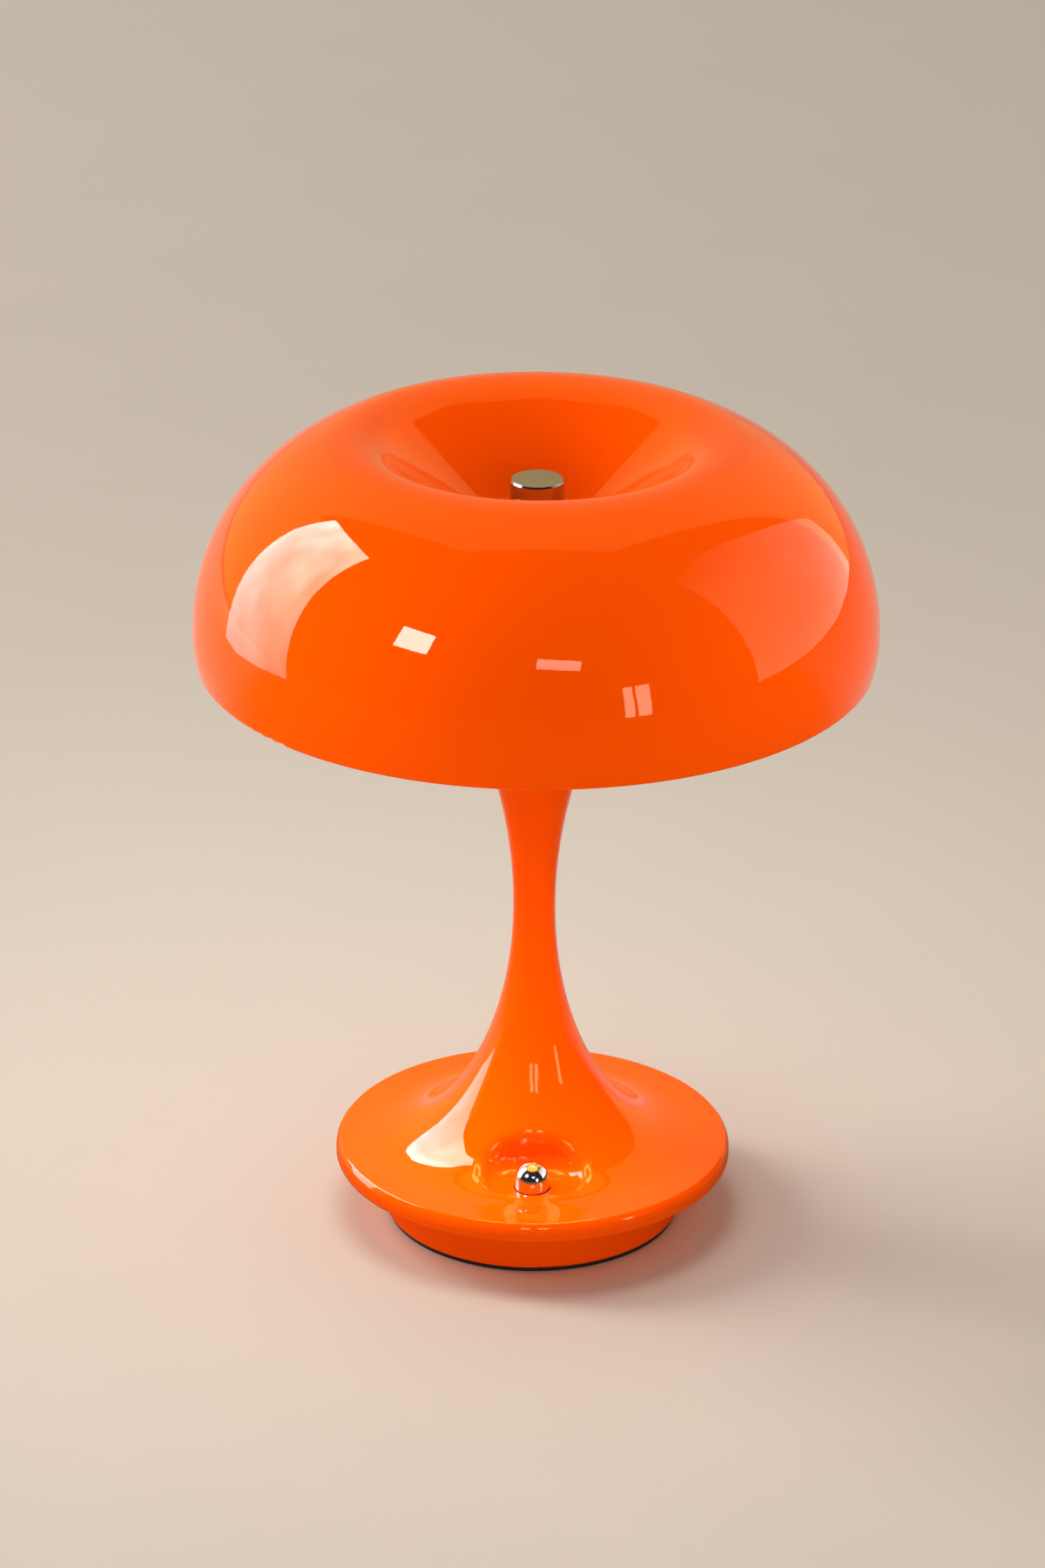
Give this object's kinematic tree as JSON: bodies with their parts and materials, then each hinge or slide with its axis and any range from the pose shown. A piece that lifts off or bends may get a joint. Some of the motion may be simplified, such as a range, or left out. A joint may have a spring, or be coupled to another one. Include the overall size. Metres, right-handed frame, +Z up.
{
  "type": "bedside lamp",
  "caption": "Cordless bedside lamp: dipped mushroom shade clamped by a knob on a trumpet stem and dish foot, push button in front, rechargeable weighted base.",
  "frame": {"origin": "centre of the foot on the table", "axes": "+Z up along the stem, -Y towards the button at the front, +Y towards the charging inlet"},
  "size_m": [0.22, 0.22, 0.2721],
  "materials": {
    "orange_shade": "high gloss",
    "orange_lacquer": "gloss",
    "polished_nickel": "polished",
    "bright_chrome": "polished",
    "zinc_steel": "plated",
    "dark_plate": "satin",
    "turned_aluminium": "turned",
    "cast_weight": "rough",
    "black_rubber": "matte",
    "clear_silicone": "matte",
    "opal_plastic": "opal",
    "white_board": "solder mask",
    "led_phosphor": "gel",
    "green_board": "solder mask",
    "black_plastic": "satin",
    "cell_wrap": "foil",
    "brass_posts": "turned",
    "white_nylon": "satin",
    "red_lead": "insulation",
    "black_lead": "insulation"
  },
  "bodies": {
    "lamp_body": {"ballast": "cast_weight", "battery_cell": "cell_wrap", "battery_lead": "red_lead", "battery_tray": "black_plastic", "board_parts": "black_plastic", "board_posts": "brass_posts", "board_screws": "zinc_steel", "bottom_plate": "dark_plate", "button_bush": "white_nylon", "button_spring": "zinc_steel", "charge_board": "green_board", "charge_lead": "black_lead", "charge_parts": "black_plastic", "control_board": "green_board", "diffuser_collar": "turned_aluminium", "flange_screws": "zinc_steel", "foot_ring": "black_rubber", "led_board": "white_board", "led_carrier": "turned_aluminium", "led_chips": "led_phosphor", "led_lead_black": "black_lead", "led_lead_red": "red_lead", "light_diffuser": "opal_plastic", "plate_screws": "zinc_steel", "plinth": "orange_lacquer", "port_bezel": "black_plastic", "shade_gasket_lower": "clear_silicone", "shade_post": "turned_aluminium", "shade_stud": "zinc_steel", "stem_body": "orange_lacquer", "switch_body": "black_plastic", "tie_nut_lower": "zinc_steel", "tie_nut_upper": "zinc_steel", "tie_tube": "zinc_steel", "tie_washer": "zinc_steel", "usb_shell": "zinc_steel", "usb_tongue": "black_plastic"},
    "shade": {"shade": "orange_shade", "shade_gasket_upper": "clear_silicone"},
    "washer": {"knob_washer": "polished_nickel"},
    "knob": {"finial_knob": "polished_nickel"},
    "button": {"button_cap": "bright_chrome", "button_stem": "zinc_steel", "button_clip": "zinc_steel", "switch_plunger": "black_plastic"}
  },
  "joints": [
    {"name": "shade_lift", "type": "slide", "parent": "lamp_body", "child": "shade", "axis": [0, 0, 1], "range_m": [0, 0.075]},
    {"name": "knob_rise", "type": "slide", "parent": "shade", "child": "washer", "axis": [0, 0, 1], "range_m": [0, 0.011]},
    {"name": "knob_turn", "type": "hinge", "parent": "washer", "child": "knob", "pos_m": [0, 0, 0.252], "axis": [0, 0, 1], "range_deg": [0, 4950]},
    {"name": "button_press", "type": "slide", "parent": "lamp_body", "child": "button", "axis": [0, 0, -1], "range_m": [0, 0.0012], "stiffness_N_per_m": 1000, "springref_m": -0.001, "deforming": ["button_spring"]}
  ],
  "couplings": [
    {"joint": "knob_turn", "follows": "knob_rise", "rad_per_m": 7854}
  ]
}
